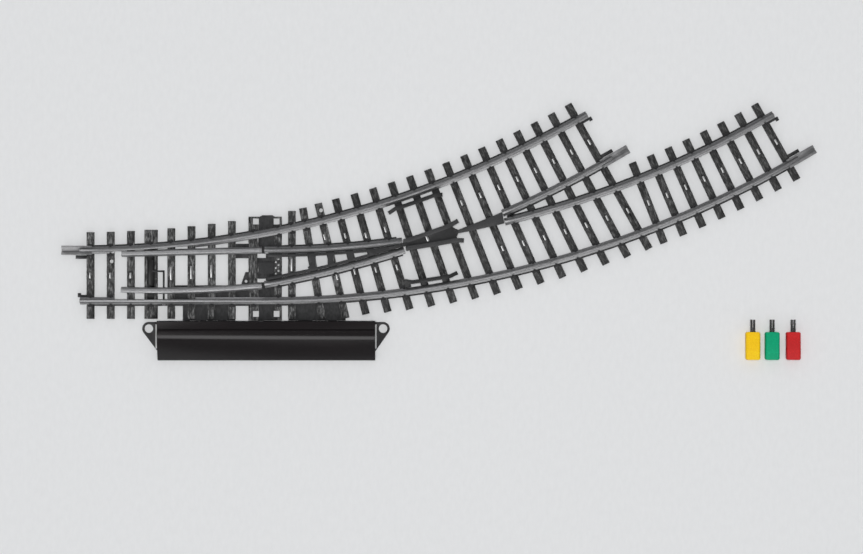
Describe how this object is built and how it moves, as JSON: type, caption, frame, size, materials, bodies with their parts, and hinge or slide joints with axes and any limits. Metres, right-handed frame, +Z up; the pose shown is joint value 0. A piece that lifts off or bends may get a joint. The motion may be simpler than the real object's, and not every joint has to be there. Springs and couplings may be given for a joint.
{
  "type": "model turnout switch",
  "caption": "Curved left-hand model railway turnout with pivoting tongues, crossing, tie grid and side box holding an electric drive, with loose wire plugs.",
  "frame": {"origin": "middle of the track at the entry rail joint, on the baseboard under the ties", "axes": "+X along the straight entry track towards the two exits, +Y towards the inner side of the curve, +Z up from the baseboard to the rail heads"},
  "size_m": [0.2617, 0.0894, 0.0086],
  "materials": {
    "tie_plastic": "ribbed, wood-grained black sleeper plastic",
    "rail_metal": "drawn nickel silver rail, satin",
    "sheet_metal": "folded plated spring sheet",
    "stud_metal": "bright pressed contact steel",
    "frog_plastic": "moulded dark grey plastic",
    "black_plastic": "moulded black plastic",
    "dark_sheet": "blackened sheet metal",
    "lever_plastic": "filled nylon",
    "pin_steel": "turned steel",
    "brass_metal": "drawn brass",
    "bobbin_plastic": "natural nylon",
    "copper_wire": "enamelled copper wire, wound",
    "soft_iron": "zinc plated soft iron",
    "board": "glass-fibre board with solder mask",
    "switch_plastic": "moulded switch housing",
    "yellow_plastic": "moulded yellow plastic",
    "green_plastic": "moulded green plastic",
    "red_plastic": "moulded red plastic"
  },
  "bodies": {
    "turnout_base": {"circuit_board": "board", "coil_yoke": "soft_iron", "contact_tab_entry": "dark_sheet", "contact_tab_inner": "dark_sheet", "contact_tab_outer": "dark_sheet", "end_switches": "switch_plastic", "entry_studs": "stud_metal", "entry_ties": "tie_plastic", "fan_ties": "tie_plastic", "frog_insert": "frog_plastic", "frog_stud": "stud_metal", "green_plug_body": "green_plastic", "guide_frame": "frog_plastic", "guide_tube": "brass_metal", "heel_contacts": "stud_metal", "heel_cover": "dark_sheet", "inner_exit_rail": "rail_metal", "inner_studs": "stud_metal", "left_bobbin": "bobbin_plastic", "left_check_rail": "frog_plastic", "left_closure_rail": "rail_metal", "left_stock_rail": "rail_metal", "left_winding": "copper_wire", "lever_pin": "pin_steel", "mechanism_base": "black_plastic", "mechanism_cover": "black_plastic", "outer_exit_rail": "rail_metal", "outer_studs": "stud_metal", "outer_ties": "tie_plastic", "plug_prongs": "pin_steel", "plug_screws": "pin_steel", "rail_joiner_entry": "sheet_metal", "rail_joiner_inner": "sheet_metal", "rail_joiner_outer": "sheet_metal", "red_plug_body": "red_plastic", "right_bobbin": "bobbin_plastic", "right_check_rail": "frog_plastic", "right_closure_rail": "rail_metal", "right_stock_rail": "rail_metal", "right_winding": "copper_wire", "terminal_pins": "brass_metal", "yellow_plug_body": "yellow_plastic"},
    "throwbar_body": {"throwbar": "black_plastic", "link_wire": "dark_sheet"},
    "left_tongue_body": {"left_tongue": "rail_metal"},
    "right_tongue_body": {"right_tongue": "rail_metal"},
    "lever_body": {"drive_lever": "lever_plastic"},
    "plunger_body": {"plunger": "soft_iron", "plunger_rod": "pin_steel", "drive_yoke": "lever_plastic"}
  },
  "joints": [
    {"name": "plunger_slide", "type": "slide", "parent": "turnout_base", "child": "plunger_body", "axis": [1, 0, 0], "range_m": [0, 0.00253]},
    {"name": "throwbar_slide", "type": "slide", "parent": "turnout_base", "child": "throwbar_body", "axis": [0, -1, 0], "range_m": [0, 0.0017]},
    {"name": "lever_pivot", "type": "hinge", "parent": "turnout_base", "child": "lever_body", "pos_m": [0.037, -0.0096, 0.00055], "axis": [0, 0, 1], "range_deg": [0, 12.19]},
    {"name": "left_tongue_pivot", "type": "hinge", "parent": "turnout_base", "child": "left_tongue_body", "pos_m": [0.0602, 0.00875, 0.0036], "axis": [0, 0, 1], "range_deg": [0, 2.75]},
    {"name": "right_tongue_pivot", "type": "hinge", "parent": "turnout_base", "child": "right_tongue_body", "pos_m": [0.0602, -0.0038, 0.0036], "axis": [0, 0, 1], "range_deg": [0, 2.75]}
  ],
  "couplings": [
    {"joint": "throwbar_slide", "follows": "plunger_slide", "ratio": 0.67227},
    {"joint": "lever_pivot", "follows": "plunger_slide", "rad_per_m": 84.034},
    {"joint": "left_tongue_pivot", "follows": "plunger_slide", "rad_per_m": 18.891},
    {"joint": "right_tongue_pivot", "follows": "plunger_slide", "rad_per_m": 18.891}
  ]
}
